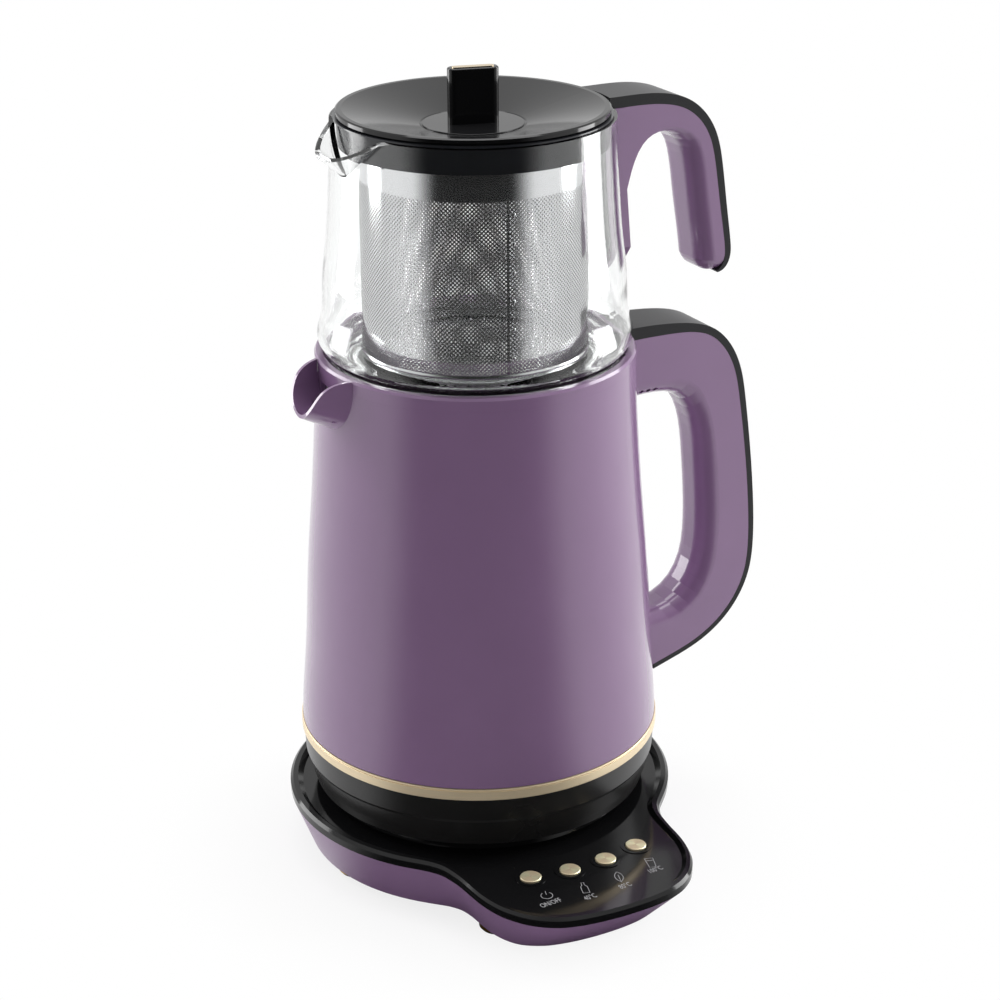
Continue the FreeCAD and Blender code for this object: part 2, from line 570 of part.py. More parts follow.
# Three vents in the near side of the opening's upper edge, square to its rounding
vent_radius = 1.2
vent_pitch = 3.7
vent_turn = math.radians(55.0)
vent_axis = V(0, math.sin(vent_turn), math.cos(vent_turn))
for i in range(3):
    start = V(80.0 + vent_pitch * i, kettle_grip_round - handle_half, grip_line[1][1] + kettle_grip_round)
    start = start - vent_axis * (kettle_grip_round + 3)
    kettle_handle = kettle_handle.cut(Part.makeCylinder(vent_radius, 8.0, start, vent_axis))
save("kettle_handle_body", kettle_handle.removeSplitter())
outer_line = shift(joint_line, KETTLE_COVER)
handle_cover = plate([curve(joint_line), line(joint_line[-1], outer_line[-1]), curve(outer_line[::-1]),
                      line(outer_line[0], joint_line[0])], handle_half)
handle_cover = handle_cover.cut(kettle_tool)
handle_cover = handle_cover.cut(block(60.0, -20.0, shell_bottom_z - 25, 88.75, 20.0, shell_bottom_z + 15.2))
save("kettle_handle_cover", handle_cover)

# Teapot: glass jug whose rim dips into a pouring lip
jug_profile = placed(JUG_DRAWN, DRAWN_JUG, jug_height, jug_bottom_z)
jug_rim_r = jug_profile[-1][0]
lip_x = -58.0
lip_z = jug_top_z - 21
lip_slope = 1.14
lip_rise = jug_wall * math.hypot(1, lip_slope) / lip_slope
lip_outer = Part.makeCone(2.0, 2.0 + 22 * lip_slope, 22.0, V(lip_x, 0, lip_z))
lip_inner = Part.makeCone(0.4, 0.4 + 24 * lip_slope, 24.0, V(lip_x, 0, lip_z + lip_rise - 1.6 / lip_slope))
lip_outer = lip_outer.cut(block(-56.0, -40.0, lip_z - 5, 40.0, 40.0, jug_top_z + 5))
jug_inside = [(r - jug_wall, z + (jug_wall if i < 3 else 0)) for i, (r, z) in enumerate(jug_profile)]
hollow = smooth_revolve(jug_inside, 0.0).fuse(cylinder(0, 0, jug_top_z - 5, jug_top_z + 5, jug_rim_r - jug_wall))
dip = plate(chain([(-54.0, jug_top_z + 0.01), (-90.0, jug_top_z - 22), (-90.0, jug_top_z + 10),
                   (-54.0, jug_top_z + 10), (-54.0, jug_top_z + 0.01)]), 60.0)
jug = smooth_revolve(jug_profile, 0.0).fuse(lip_outer).common(cylinder(0, 0, 0, jug_top_z, 100.0))
jug = jug.cut(hollow).cut(lip_inner).cut(dip)
save("glass_jug", jug.removeSplitter())

# Teapot: bonding pad, handle body and handle cover
glass_side = jug_profile + [(jug_rim_r - 0.7, jug_top_z + 17)]
glass_tool = smooth_revolve(glass_side, -seat_gap)
handle_tool = smooth_revolve(glass_side, -bond_thickness - 0.08)
pad_top_z = jug_top_z - 2.6
pad_low_z = jug_bottom_z + 27.6


def shield(half, top, low, corner, reach):
    # Shield outline seen from the handle side, made solid along X
    points = [(-half, top), (half, top), (half, low + 2 * corner), (half - 5, low + corner), (0, low),
              (5 - half, low + corner), (-half, low + 2 * corner), (-half, top)]
    wire = Part.makePolygon([V(50.0, y, z) for y, z in points])
    return Part.Face(wire).extrude(V(reach, 0, 0))


pad_layer = smooth_revolve(jug_profile, -bond_thickness).cut(glass_tool)
save("teapot_bond_pad", pad_layer.common(shield(11.0, jug_top_z - 7, pad_low_z + 6, 6.0, 30.0)))
hook_line = placed(JUG_JOINT_DRAWN, DRAWN_JUG, jug_height, jug_bottom_z)
hook_grip = placed(JUG_GRIP_DRAWN, DRAWN_JUG, jug_height, jug_bottom_z)
hook_edge = shift(hook_line, [-0.08] * len(hook_line))
hook_inside = plate([curve(hook_edge)] + chain([hook_edge[-1], (112.0, hook_edge[-1][1] - 8),
                                                (40.0, hook_edge[-1][1] - 8), (40.0, hook_edge[0][1]),
                                                hook_edge[0]]), 2 * handle_half)
hook_outer = shift(hook_line, [1.2] * len(hook_line))[:-2]
hook = grip(hook_grip, hook_outer, handle_half, jug_grip_round, 29, HOOK_END).common(hook_inside)
pad_block = plate(chain([(55.0, pad_top_z), (68.0, pad_top_z), (69.0, jug_bottom_z + 73.6),
                         (71.8, jug_bottom_z + 41.6), (71.6, pad_low_z), (55.0, pad_low_z), (55.0, pad_top_z)]),
                  handle_half + 0.7)
pad_block = pad_block.common(shield(handle_half + 0.5, jug_top_z - 2, pad_low_z + 2.5, 6.5, 40.0))
teapot_handle = hook.cut(handle_tool).fuse(pad_block.cut(handle_tool))
save("teapot_handle_body", teapot_handle.removeSplitter())
hook_cover_line = shift(hook_line, JUG_COVER)
teapot_cover = plate([curve(hook_line), line(hook_line[-1], hook_cover_line[-1]), curve(hook_cover_line[::-1]),
                      line(hook_cover_line[0], hook_line[0])], handle_half)
save("teapot_handle_cover", teapot_cover.cut(glass_tool))

# Basket: collar, perforated tube and floor
collar_r = jug_rim_r - jug_wall - 0.6
collar_seat_z = basket_collar_z + 2
basket_collar = revolve([(basket_radius + 0.5, basket_collar_z), (collar_r - 0.2, basket_collar_z),
                         (collar_r, collar_rest_z), (collar_r + 1.5, collar_rest_z),
                         (collar_r + 1.5, collar_rest_z + 0.7), (collar_r - 2.4, collar_rest_z + 0.7),
                         (collar_r - 2.4, collar_seat_z), (basket_radius + 0.5, collar_seat_z)])
save("basket_collar", basket_collar)
tube_inner = basket_radius - basket_wall
tube_top_z = collar_seat_z + 0.6
tube = ring(0, 0, basket_bottom_z, tube_top_z, tube_inner, basket_radius)
tube = tube.fuse(ring(0, 0, collar_seat_z + joint_gap, tube_top_z, tube_inner, basket_radius + 3.5))
save("basket_tube", tube.removeSplitter())
floor_edge = tube_inner - 0.1
bead = [(floor_edge - 8.9, 0.0), (floor_edge - 7.9, 1.0), (floor_edge - 5.9, 1.0), (floor_edge - 4.9, 0.0)]
floor_low = [(0.0, 0.0)] + bead + [(floor_edge, 0.0)]
floor_high = [(floor_edge, basket_wall), (floor_edge - 4.7, basket_wall), (floor_edge - 5.7, 1 + basket_wall),
              (floor_edge - 8.1, 1 + basket_wall), (floor_edge - 9.1, basket_wall), (0.0, basket_wall)]
save("basket_floor", revolve([(r, basket_bottom_z + z) for r, z in floor_low + floor_high]))

# Lid: shell, disc, knob, inlay and seal
cup_r = collar_r - 4.8
dish_z = lid_z - 5.1
lid_shell = revolve([(0, lid_z - 7.3), (disc_radius, lid_z - 7.3), (cup_r, lid_z - 1.7), (cup_r, lid_z),
                     (lid_radius - 0.5, lid_z), (lid_radius, lid_z + 0.5), (lid_radius, lid_z + 2.1),
                     (lid_radius - 0.7, lid_z + 2.6), (lid_radius - 2.7, lid_z + 2.6),
                     (disc_radius + 1.1, dish_z + 0.4), (disc_radius + 0.5, dish_z), (0, dish_z)])
save("lid_shell", lid_shell)
disc_top_z = dish_z + 0.55
save("lid_disc", rounded(cylinder(0, 0, dish_z + joint_gap, disc_top_z, disc_radius), 0.25,
                         lambda c: c.z > disc_top_z - 0.1))
knob_z = disc_top_z + joint_gap
knob_top_z = knob_z + knob_height
knob = block(-knob_length / 2, -knob_width / 2, knob_z, knob_length / 2, knob_width / 2, knob_top_z)
knob = rounded(knob, 0.42 * knob_width, lambda c: abs(c.z - (knob_z + knob_top_z) / 2) < 0.1)
knob = rounded(knob, 0.8, lambda c: c.z > knob_top_z - 0.1)
inlay_z = knob_top_z + joint_gap
inlay = block(2 - knob_length / 2, 1.7 - knob_width / 2, inlay_z, knob_length / 2 - 2, knob_width / 2 - 1.7,
              inlay_z + 0.3)
inlay = rounded(inlay, 1.5, lambda c: abs(c.z - inlay_z - 0.15) < 0.01)
knob.rotate(V(0, 0, 0), V(0, 0, 1), knob_turn_deg)
inlay.rotate(V(0, 0, 0), V(0, 0, 1), knob_turn_deg)
save("lid_knob", knob)
save("knob_inlay", inlay)
save("lid_seal", ring(0, 0, lid_z - 6.3, lid_z - 0.1, cup_r + 0.1, cup_r + 2))
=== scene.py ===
import bpy
import bmesh
import json
import math
from functools import partial
from mathutils import Matrix, Vector


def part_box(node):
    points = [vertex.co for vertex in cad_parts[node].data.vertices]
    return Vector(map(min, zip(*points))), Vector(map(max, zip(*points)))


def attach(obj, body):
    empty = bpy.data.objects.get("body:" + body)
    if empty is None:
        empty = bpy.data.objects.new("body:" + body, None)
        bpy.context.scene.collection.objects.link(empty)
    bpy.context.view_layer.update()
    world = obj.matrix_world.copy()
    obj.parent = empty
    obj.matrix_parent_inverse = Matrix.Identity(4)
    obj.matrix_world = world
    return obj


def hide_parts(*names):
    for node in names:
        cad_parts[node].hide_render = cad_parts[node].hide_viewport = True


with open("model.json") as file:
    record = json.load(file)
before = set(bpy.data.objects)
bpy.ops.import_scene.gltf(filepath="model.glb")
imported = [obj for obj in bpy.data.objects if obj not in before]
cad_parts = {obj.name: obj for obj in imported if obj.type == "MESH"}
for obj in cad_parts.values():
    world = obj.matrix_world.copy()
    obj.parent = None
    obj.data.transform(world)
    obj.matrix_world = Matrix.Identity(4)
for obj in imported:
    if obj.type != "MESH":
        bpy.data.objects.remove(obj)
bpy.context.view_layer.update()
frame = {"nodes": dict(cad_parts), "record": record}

bl_info = {
    "name": "Tea Maker",
    "version": (1, 0, 0),
    "blender": (4, 5, 0),
    "location": "View3D > Sidebar > Tea Maker",
    "description": "Finishes and fine pieces of a tea maker with a kettle, a glass teapot and a power base",
    "category": "Object",
}

MM = 0.001
WHITE = (1.0, 1.0, 1.0, 1.0)


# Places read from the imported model, and sizes that go with them

def low(node):
    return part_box(node)[0]


def high(node):
    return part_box(node)[1]


BASKET_WALL = 0.5 * MM
BASKET_RADIUS = high("basket_floor")[0] + 0.6 * MM
BASKET_BOTTOM = low("basket_tube")[2]
FLANGE_TOP = high("basket_tube")[2]
FLANGE_RADIUS = high("basket_tube")[0]
HOLES_TOP = FLANGE_TOP - 16.0 * MM
HOLES_BOTTOM = BASKET_BOTTOM + 3.6 * MM
HOLE_CORNERS = 8
BASKET_PARTS = 4
MERGE_REACH = 0.02 * MM
RING_STEPS = 128

# The rolled bead of the basket's foot: plain edge below it, height of its middle, half height and swell
BEAD_FOOT = 0.6 * MM
BEAD_MIDDLE = 2.0 * MM
BEAD_HALF = 1.1 * MM
BEAD_SWELL = 0.55 * MM
BEAD_STEPS = 8

SEAM_ANGLE = math.radians(-11.8)
SEAM_HALF = 0.45 * MM
SEAM_SUNK = 0.1 * MM
SEAM_PROUD = 0.22 * MM
WELD_PITCH = 12.5 * MM
WELD_START = 0.6
WELD_SHIFT = 2.4 * MM
WELD_SIZE = (0.95 * MM, 0.28 * MM, 0.95 * MM, 1.0)

# The row of buttons, on an arc about the kettle's axis
BUTTON_REACH = 99.3 * MM
BUTTON_FIRST = -0.2653
BUTTON_STEP = 0.185

PANEL_Z = high("button_power_cap")[2] - 1.0 * MM
SHARP_ANGLE = math.radians(35.0)


class TeaMakerSettings(bpy.types.PropertyGroup):
    purple: bpy.props.FloatVectorProperty(
        name="Purple", description="Colour of the plastic shell and handles", subtype="COLOR",
        size=3, min=0.0, max=1.0, default=(0.245, 0.142, 0.272))
    black: bpy.props.FloatVectorProperty(
        name="Black", description="Colour of the lid and the base cover", subtype="COLOR",
        size=3, min=0.0, max=1.0, default=(0.006, 0.006, 0.0065))
    gold: bpy.props.FloatVectorProperty(
        name="Gold", description="Colour of the band and the buttons", subtype="COLOR",
        size=3, min=0.0, max=1.0, default=(0.88, 0.73, 0.50))
    steel: bpy.props.FloatVectorProperty(
        name="Steel", description="Colour of the pot, the neck ring and the basket's floor", subtype="COLOR",
        size=3, min=0.0, max=1.0, default=(0.96, 0.96, 0.965))
    hole_pitch: bpy.props.FloatProperty(
        name="Hole pitch", description="Distance between the holes of the strainer", subtype="DISTANCE",
        unit="LENGTH", min=0.0008, default=0.00185)
    hole_share: bpy.props.FloatProperty(
        name="Hole width", description="Hole diameter as a share of the pitch", subtype="FACTOR",
        min=0.1, max=0.9, default=0.5)


def settings():
    return bpy.context.scene.tea_maker


# Node helpers

def math_node(tree, operation, *values):
    """A math node fed with sockets or plain numbers; gives back its output."""
    node = tree.nodes.new("ShaderNodeMath")
    node.operation = operation
    for socket, value in zip(node.inputs, values):
        if isinstance(value, (int, float)):
            socket.default_value = value
        else:
            tree.links.new(value, socket)
    return node.outputs[0]


def mixed(tree, share, first, second):
    """Two shaders mixed by the second one's share."""
    mix = tree.nodes.new("ShaderNodeMixShader")
    for socket, source in zip(mix.inputs, (share, first, second)):
        tree.links.new(source, socket)
    return mix.outputs[0]


# Shared shader groups

def shader_group(name, inputs):
    """An empty group that takes the given inputs and gives a tone and a bumped normal."""
    tree = bpy.data.node_groups.new(name, "ShaderNodeTree")
    face = tree.interface
    for label, value in inputs.items():
        kind = "NodeSocketVector" if isinstance(value, tuple) else "NodeSocketFloat"
        face.new_socket(label, in_out="INPUT", socket_type=kind).default_value = value
    face.new_socket("Tone", in_out="OUTPUT", socket_type="NodeSocketFloat")
    face.new_socket("Normal", in_out="OUTPUT", socket_type="NodeSocketVector")
    return tree, tree.nodes.new("NodeGroupInput"), tree.nodes.new("NodeGroupOutput")


def bumped(tree, entry, leave, height, distance):
    """Bends the group's normal by a height; the Depth input is its strength."""
    bump = tree.nodes.new("ShaderNodeBump")
    bump.inputs["Distance"].default_value = distance
    tree.links.new(entry.outputs["Depth"], bump.inputs["Strength"])
    tree.links.new(height, bump.inputs["Height"])
    tree.links.new(bump.outputs["Normal"], leave.inputs["Normal"])


def grain_group():
    """Fine noise for the normal and broad noise for the tone."""
    tree = bpy.data.node_groups.get("Fine Grain")
    if tree:
        return tree
    tree, entry, leave = shader_group("Fine Grain", {"Scale": 900.0, "Depth": 0.1})
    new = tree.nodes.new
    link = tree.links.new
    place = new("ShaderNodeTexCoord")
    fine = new("ShaderNodeTexNoise")
    fine.inputs["Detail"].default_value = 4.0
    broad = new("ShaderNodeTexNoise")
    broad.inputs["Scale"].default_value = 22.0
    broad.inputs["Detail"].default_value = 3.0
    link(place.outputs["Object"], fine.inputs["Vector"])
    link(place.outputs["Object"], broad.inputs["Vector"])
    link(entry.outputs["Scale"], fine.inputs["Scale"])
    link(broad.outputs["Fac"], leave.inputs["Tone"])
    bumped(tree, entry, leave, fine.outputs["Fac"], 0.4 * MM)
    return tree


def brush_group():
    """Fine lines that run across the direction of the largest Stretch."""
    tree = bpy.data.node_groups.get("Brushed Lines")
    if tree:
        return tree
    tree, entry, leave = shader_group("Brushed Lines", {"Stretch": (20.0, 20.0, 4000.0), "Depth": 0.2})
    new = tree.nodes.new
    link = tree.links.new
    place = new("ShaderNodeTexCoord")
    spread = new("ShaderNodeVectorMath")
    spread.operation = "MULTIPLY"
    lines = new("ShaderNodeTexNoise")
    lines.inputs["Scale"].default_value = 1.0
    lines.inputs["Detail"].default_value = 5.0
    link(place.outputs["Object"], spread.inputs[0])
    link(entry.outputs["Stretch"], spread.inputs[1])
    link(spread.outputs["Vector"], lines.inputs["Vector"])
    link(lines.outputs["Fac"], leave.inputs["Tone"])
    bumped(tree, entry, leave, lines.outputs["Fac"], 0.2 * MM)
    return tree


def spun_group():
    """Fine rings round the nearest button for the normal, and two painted highlight fans for the tone."""
    tree = bpy.data.node_groups.get("Spun Rings")
    if tree:
        return tree
    tree, entry, leave = shader_group("Spun Rings", {
        "Reach": BUTTON_REACH, "First": BUTTON_FIRST, "Pitch": BUTTON_STEP, "Rings": 9000.0, "Depth": 0.3,
        "Fan Turn": 0.9, "Fan Edge": 3.0})
    link = tree.links.new
    work = partial(math_node, tree)
    reach, first, pitch = (entry.outputs[name] for name in ("Reach", "First", "Pitch"))
    place = tree.nodes.new("ShaderNodeTexCoord")
    split = tree.nodes.new("ShaderNodeSeparateXYZ")
    link(place.outputs["Object"], split.inputs[0])
    x, y = split.outputs[0], split.outputs[1]
    turn = work("ARCTAN2", x, work("MULTIPLY", y, -1.0))
    step = work("ROUND", work("DIVIDE", work("SUBTRACT", turn, first), pitch))
    middle = work("ADD", work("MULTIPLY", step, pitch), first)
    dx = work("SUBTRACT", x, work("MULTIPLY", work("SINE", middle), reach))
    dy = work("ADD", y, work("MULTIPLY", work("COSINE", middle), reach))
    away = work("SQRT", work("ADD", work("MULTIPLY", dx, dx), work("MULTIPLY", dy, dy)))
    rings = work("SINE", work("MULTIPLY", away, entry.outputs["Rings"]))
    # Painted highlight: the tone is high in two opposite wedges round each button, which lighten its colour
    # like the fans of light on spun metal
    around = work("ADD", work("ARCTAN2", dy, dx), entry.outputs["Fan Turn"])
    painted_highlight_fans = work("POWER", work("ABSOLUTE", work("COSINE", around)), entry.outputs["Fan Edge"])
    link(painted_highlight_fans, leave.inputs["Tone"])
    bumped(tree, entry, leave, rings, 0.04 * MM)
    return tree


# Materials

def shade(colour, factor):
    return tuple(min(1.0, channel * factor) for channel in colour) + (1.0,)


def blank(name):
    """A new node material with its Principled shader."""
    material = bpy.data.materials.new(name)
    material.use_nodes = True
    tree = material.node_tree
    tree.nodes.clear()
    out = tree.nodes.new("ShaderNodeOutputMaterial")
    shader = tree.nodes.new("ShaderNodeBsdfPrincipled")
    tree.links.new(shader.outputs["BSDF"], out.inputs["Surface"])
    return material, tree, shader


def patterned(tree, shader, pattern, colours, roughness, **values):
    """Lays a pattern group on a shader: its normal, and a tone that moves colour and roughness."""
    group = tree.nodes.new("ShaderNodeGroup")
    group.node_tree = pattern
    for label, value in values.items():
        group.inputs[label].default_value = value
    tone = group.outputs["Tone"]
    tree.links.new(group.outputs["Normal"], shader.inputs["Normal"])
    mix = tree.nodes.new("ShaderNodeMix")
    mix.data_type = "RGBA"
    mix.inputs["A"].default_value, mix.inputs["B"].default_value = colours
    tree.links.new(tone, mix.inputs["Factor"])
    tree.links.new(mix.outputs["Result"], shader.inputs["Base Color"])
    span = tree.nodes.new("ShaderNodeMapRange")
    span.inputs["To Min"].default_value, span.inputs["To Max"].default_value = roughness
    tree.links.new(tone, span.inputs["Value"])
    tree.links.new(span.outputs["Result"], shader.inputs["Roughness"])


def moulded(name, colour, rough, coat=0.0, grain=900.0, depth=0.06, gloss=0.5):
    """Moulded plastic or rubber."""
    material, tree, shader = blank(name)
    patterned(tree, shader, grain_group(), (shade(colour, 0.94), shade(colour, 1.06)),
              (rough * 0.85, rough * 1.15), Scale=grain, Depth=depth)
    shader.inputs["Specular IOR Level"].default_value = gloss
    shader.inputs["Coat Weight"].default_value = coat
    shader.inputs["Coat Roughness"].default_value = 0.04
    return material


def metal(name, colour, rough, stretch=(20.0, 20.0, 4000.0), depth=0.15, metallic=1.0):
    """Brushed or polished metal; a lower metallic is a lacquered one."""
    material, tree, shader = blank(name)
    patterned(tree, shader, brush_group(), (shade(colour, 0.9), shade(colour, 1.08)),
              (rough * 0.7, rough * 1.3), Stretch=stretch, Depth=depth)
    shader.inputs["Metallic"].default_value = metallic
    return material


def spun(name, colour):
    """Spun metal face whose colour carries two painted highlight fans."""
    material, tree, shader = blank(name)
    # The tone's fans move the colour from 0.8 to 1.3 times its own: a painted highlight
    patterned(tree, shader, spun_group(), (shade(colour, 0.8), shade(colour, 1.3)), (0.5, 0.36))
    shader.inputs["Metallic"].default_value = 0.75
    return material


def heatproof_glass(name):
    """Clear heatproof glass with a faint green in it."""
    material, tree, shader = blank(name)
    patterned(tree, shader, grain_group(), ((0.975, 0.99, 0.985, 1.0), WHITE), (0.0, 0.01),
              Scale=30.0, Depth=0.01)
    shader.inputs["Transmission Weight"].default_value = 1.0
    shader.inputs["IOR"].default_value = 1.47
    return material


def finishes():
    """Every made finish by its slot name; panel_print has no slot in the record."""
    tea = settings()
    purple, black, gold, steel = (tuple(colour) for colour in (tea.purple, tea.black, tea.gold, tea.steel))
    plastics = {
        "gloss_purple": dict(colour=purple, rough=0.22, coat=0.6, depth=0.03),
        "satin_purple": dict(colour=purple, rough=0.38, coat=0.1, depth=0.08),
        "gloss_black": dict(colour=black, rough=0.1, depth=0.02, gloss=0.36),
        "lid_disc_black": dict(colour=shade(black, 1.4)[:3], rough=0.12, depth=0.02, gloss=0.36),
        "strip_black": dict(colour=(0.016, 0.016, 0.018), rough=0.34, gloss=0.3),
        "base_ring_black": dict(colour=(0.012, 0.0115, 0.0115), rough=0.28),
        "matte_black": dict(colour=(0.02, 0.02, 0.02), rough=0.5),
        "rubber": dict(colour=(0.02, 0.02, 0.02), rough=0.75, grain=2500.0, depth=0.2),
        "board_green": dict(colour=(0.03, 0.2, 0.07), rough=0.4),
        "relay_blue": dict(colour=(0.03, 0.08, 0.3), rough=0.35),
        "wire_cover": dict(colour=(0.3, 0.03, 0.02), rough=0.45),
        "silicone": dict(colour=(0.4, 0.4, 0.4), rough=0.55),
        "bond_layer": dict(colour=(0.62, 0.66, 0.64), rough=0.5),
        "collar_grey": dict(colour=(0.02, 0.021, 0.025), rough=0.16),
        "panel_print": dict(colour=(0.36, 0.36, 0.37), rough=0.5),
    }
    metals = {
        "foot_brass": dict(colour=(0.55, 0.34, 0.06), rough=0.3),
        "screw_steel": dict(colour=(0.55, 0.55, 0.56), rough=0.35),
        "contact_brass": dict(colour=(0.8, 0.58, 0.22), rough=0.2),
        "band_gold": dict(colour=gold, rough=0.4, stretch=(12.0, 12.0, 5000.0), metallic=0.45),
        "inlay_gold": dict(colour=gold, rough=0.25),
        "polished_steel": dict(colour=steel, rough=0.03, stretch=(15.0, 15.0, 600.0), depth=0.0),
        "heater_aluminium": dict(colour=(0.7, 0.7, 0.7), rough=0.4),
        "element_steel": dict(colour=(0.4, 0.39, 0.38), rough=0.4),
    }
    made = {name: moulded(name, **values) for name, values in plastics.items()}
    made.update({name: metal(name, **values) for name, values in metals.items()})
    made["button_gold"] = spun("button_gold", gold)
    made["clear_glass"] = heatproof_glass("clear_glass")
    return made


def named_material(name):
    """The material under this very name: for a slot of the record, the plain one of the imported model."""
    return bpy.data.materials[name]


# Mesh helpers

def outward(form):
    bmesh.ops.recalc_face_normals(form, faces=form.faces)


def settled(form, name):
    """Turns a bmesh into a mesh."""
    mesh = bpy.data.meshes.new(name)
    form.to_mesh(mesh)
    form.free()
    return mesh


def keep(name, mesh, slot_name, body, smooth=True):
    """Links a finished mesh as a piece that rides on a body."""
    piece = bpy.data.objects.new(name, mesh)
    bpy.context.scene.collection.objects.link(piece)
    mesh.materials.clear()
    mesh.materials.append(named_material(slot_name))
    for polygon in mesh.polygons:
        polygon.use_smooth = smooth
        polygon.material_index = 0
    if smooth:
        mesh.set_sharp_from_angle(angle=SHARP_ANGLE)
    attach(piece, body)
    return piece


class TEAMAKER_OT_finishes(bpy.types.Operator):
    """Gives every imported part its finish"""
    bl_idname = "teamaker.finishes"
    bl_label = "Finishes"

    def execute(self, context):
        made = finishes()
        for part in frame["record"]["subparts"]:
            materials = frame["nodes"][part["node"]].data.materials
            materials.clear()
            materials.append(made[part["material_slot"]])
        return {"FINISHED"}


# Strainer basket

def perforation_tree():
    """Closed sheet of round holes on a grid, rolled into a tube."""
    tree = bpy.data.node_groups.new("Rolled Perforation", "GeometryNodeTree")
    face = tree.interface
    face.new_socket("Geometry", in_out="INPUT", socket_type="NodeSocketGeometry")
    for name, kind, value in (
            ("Columns", "NodeSocketInt", 168), ("Rows", "NodeSocketInt", 10),
            ("Pitch", "NodeSocketFloat", 1.85 * MM), ("Hole Radius", "NodeSocketFloat", 0.46 * MM),
            ("Tube Radius", "NodeSocketFloat", BASKET_RADIUS), ("Wall", "NodeSocketFloat", BASKET_WALL),
            ("Bottom", "NodeSocketFloat", HOLES_BOTTOM)):
        face.new_socket(name, in_out="INPUT", socket_type=kind).default_value = value
    face.new_socket("Material", in_out="INPUT", socket_type="NodeSocketMaterial")
    face.new_socket("Geometry", in_out="OUTPUT", socket_type="NodeSocketGeometry")
    new = tree.nodes.new
    link = tree.links.new
    work = partial(math_node, tree)
    entry = new("NodeGroupInput")
    leave = new("NodeGroupOutput")
    columns, rows, pitch, hole_radius, tube_radius, wall, bottom, material = entry.outputs[1:9]

    def split_place():
        """Position, and its three parts."""
        where = new("GeometryNodeInputPosition").outputs[0]
        split = new("ShaderNodeSeparateXYZ")
        link(where, split.inputs[0])
        return where, split.outputs

    def scaled(vector, factor):
        node = new("ShaderNodeVectorMath")
        node.operation = "SCALE"
        link(vector, node.inputs[0])
        link(factor, node.inputs["Scale"])
        return node.outputs[0]

    def merged(geometry):
        node = new("GeometryNodeMergeByDistance")
        node.inputs["Distance"].default_value = MERGE_REACH
        link(geometry, node.inputs["Geometry"])
        return node.outputs["Geometry"]

    # One cell: a ring of corners whose edges are drawn out to the cell's square border
    hole = new("GeometryNodeMeshCircle")
    hole.inputs["Vertices"].default_value = HOLE_CORNERS
    link(hole_radius, hole.inputs["Radius"])
    where, (x, y, z) = split_place()
    reach = work("MAXIMUM", work("ABSOLUTE", x), work("ABSOLUTE", y))
    grow = work("SUBTRACT", work("DIVIDE", work("MULTIPLY", pitch, 0.5), reach), 1.0)
    draw = new("GeometryNodeExtrudeMesh")
    draw.mode = "EDGES"
    link(hole.outputs["Mesh"], draw.inputs["Mesh"])
    link(scaled(where, grow), draw.inputs["Offset"])

    # The cells on a flat grid
    length = work("MULTIPLY", pitch, columns)
    width = work("MULTIPLY", pitch, rows)
    sheet = new("GeometryNodeMeshGrid")
    link(length, sheet.inputs["Size X"])
    link(width, sheet.inputs["Size Y"])
    link(work("ADD", columns, 1), sheet.inputs["Vertices X"])
    link(work("ADD", rows, 1), sheet.inputs["Vertices Y"])
    centres = new("GeometryNodeMeshToPoints")
    centres.mode = "FACES"
    link(sheet.outputs["Mesh"], centres.inputs["Mesh"])
    copies = new("GeometryNodeInstanceOnPoints")
    link(centres.outputs["Points"], copies.inputs["Points"])
    link(draw.outputs["Mesh"], copies.inputs["Instance"])
    real = new("GeometryNodeRealizeInstances")
    link(copies.outputs["Instances"], real.inputs["Geometry"])

    # Rolled into the tube
    where, (x, y, z) = split_place()
    angle = work("DIVIDE", work("MULTIPLY", x, 2 * math.pi), length)
    wrap = new("ShaderNodeCombineXYZ")
    link(work("MULTIPLY", work("COSINE", angle), tube_radius), wrap.inputs[0])
    link(work("MULTIPLY", work("SINE", angle), tube_radius), wrap.inputs[1])
    link(work("ADD", work("ADD", y, work("MULTIPLY", width, 0.5)), bottom), wrap.inputs[2])
    roll = new("GeometryNodeSetPosition")
    link(merged(real.outputs["Geometry"]), roll.inputs["Geometry"])
    link(wrap.outputs[0], roll.inputs["Position"])
    outer = merged(roll.outputs["Geometry"])

    # The inner side: the outer side drawn inward and turned over, then joined to it
    flat = new("ShaderNodeVectorMath")
    flat.operation = "MULTIPLY"
    flat.inputs[1].default_value = (1.0, 1.0, 0.0)
    link(new("GeometryNodeInputPosition").outputs[0], flat.inputs[0])
    inward = scaled(flat.outputs[0], work("MULTIPLY", work("DIVIDE", wall, tube_radius), -1.0))
    deepen = new("GeometryNodeExtrudeMesh")
    deepen.mode = "FACES"
    deepen.inputs["Individual"].default_value = False
    link(outer, deepen.inputs["Mesh"])
    link(inward, deepen.inputs["Offset"])
    over = new("GeometryNodeFlipFaces")
    link(deepen.outputs["Mesh"], over.inputs["Mesh"])
    both = new("GeometryNodeJoinGeometry")
    link(over.outputs["Mesh"], both.inputs["Geometry"])
    link(outer, both.inputs["Geometry"])
    coat = new("GeometryNodeSetMaterial")
    link(merged(both.outputs["Geometry"]), coat.inputs["Geometry"])
    link(material, coat.inputs["Material"])
    link(coat.outputs["Geometry"], leave.inputs["Geometry"])
    return tree


def grown(name, tree, values):
    """Runs a geometry tree on an empty mesh and gives the result as a plain mesh."""
    seed = bpy.data.objects.new(name + "_seed", bpy.data.meshes.new(name + "_seed"))
    bpy.context.scene.collection.objects.link(seed)
    modifier = seed.modifiers.new("Tree", "NODES")
    modifier.node_group = tree
    for item in tree.interface.items_tree:
        if item.item_type == "SOCKET" and item.in_out == "INPUT" and item.name in values:
            modifier[item.identifier] = values[item.name]
    graph = bpy.context.evaluated_depsgraph_get()
    mesh = bpy.data.meshes.new_from_object(seed.evaluated_get(graph))
    mesh.name = name
    bpy.data.objects.remove(seed)
    if not mesh.polygons:
        raise RuntimeError(name + ": the tree made nothing")
    return mesh


